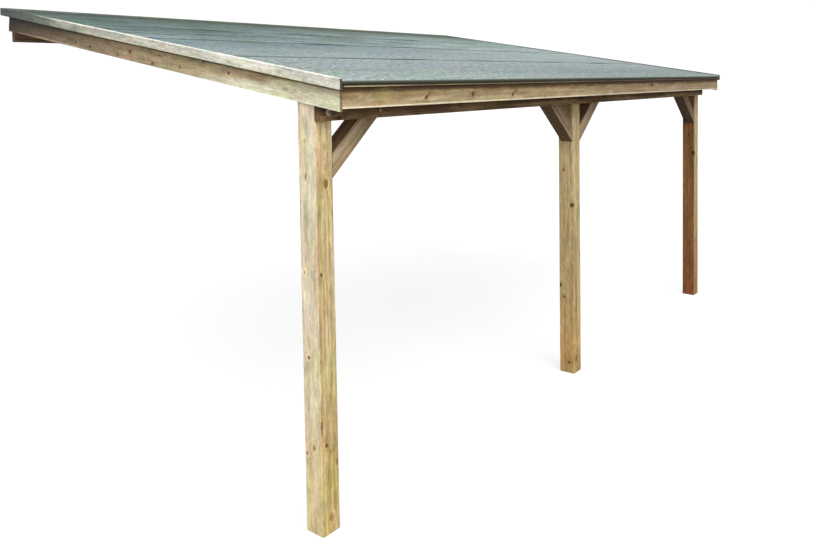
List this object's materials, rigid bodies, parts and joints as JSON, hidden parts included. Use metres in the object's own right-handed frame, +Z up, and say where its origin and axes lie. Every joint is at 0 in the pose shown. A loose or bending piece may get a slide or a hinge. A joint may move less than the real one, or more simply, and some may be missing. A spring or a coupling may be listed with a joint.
{
  "type": "lean-to carport",
  "caption": "Open timber carport fixed to a wall, with a felted roof that slopes down to braced posts and a front beam.",
  "frame": {"origin": "centre of the ledger's back face, where it meets the wall", "axes": "+Y out of the back, into the wall; +X along the wall to the right as seen from the front; +Z up"},
  "size_m": [5.632, 3.468, 2.8751],
  "materials": {
    "post_timber": "sawn, treated",
    "beam_timber": "sawn, darkened",
    "brace_timber": "sawn, treated",
    "rafter_timber": "sawn, treated",
    "deck_boards": "planed boards",
    "batten_timber": "sawn, treated",
    "roofing_felt": "mineral grit",
    "fascia_board": "planed, treated",
    "trim_board": "planed, weathered",
    "barge_board": "planed, treated",
    "bolt_metal": "galvanised"
  },
  "bodies": {
    "root": {"post_left": "post_timber", "post_middle": "post_timber", "post_right": "post_timber", "front_beam_left": "beam_timber", "front_beam_right": "beam_timber", "brace_left": "brace_timber", "brace_middle_left": "brace_timber", "brace_middle_right": "brace_timber", "brace_right": "brace_timber", "wall_ledger": "beam_timber", "rafter_1": "rafter_timber", "rafter_2": "rafter_timber", "rafter_3": "rafter_timber", "rafter_4": "rafter_timber", "rafter_5": "rafter_timber", "rafter_6": "rafter_timber", "rafter_7": "rafter_timber", "rafter_8": "rafter_timber", "rafter_9": "rafter_timber", "roof_deck_left": "deck_boards", "roof_deck_right": "deck_boards", "eave_batten": "batten_timber", "felt_strip_1": "roofing_felt", "felt_strip_2": "roofing_felt", "felt_strip_3": "roofing_felt", "felt_strip_4": "roofing_felt", "front_fascia": "fascia_board", "back_trim": "trim_board", "bargeboard_left": "barge_board", "verge_trim_left": "trim_board", "bargeboard_right": "barge_board", "verge_trim_right": "trim_board"}
  },
  "joints": []
}
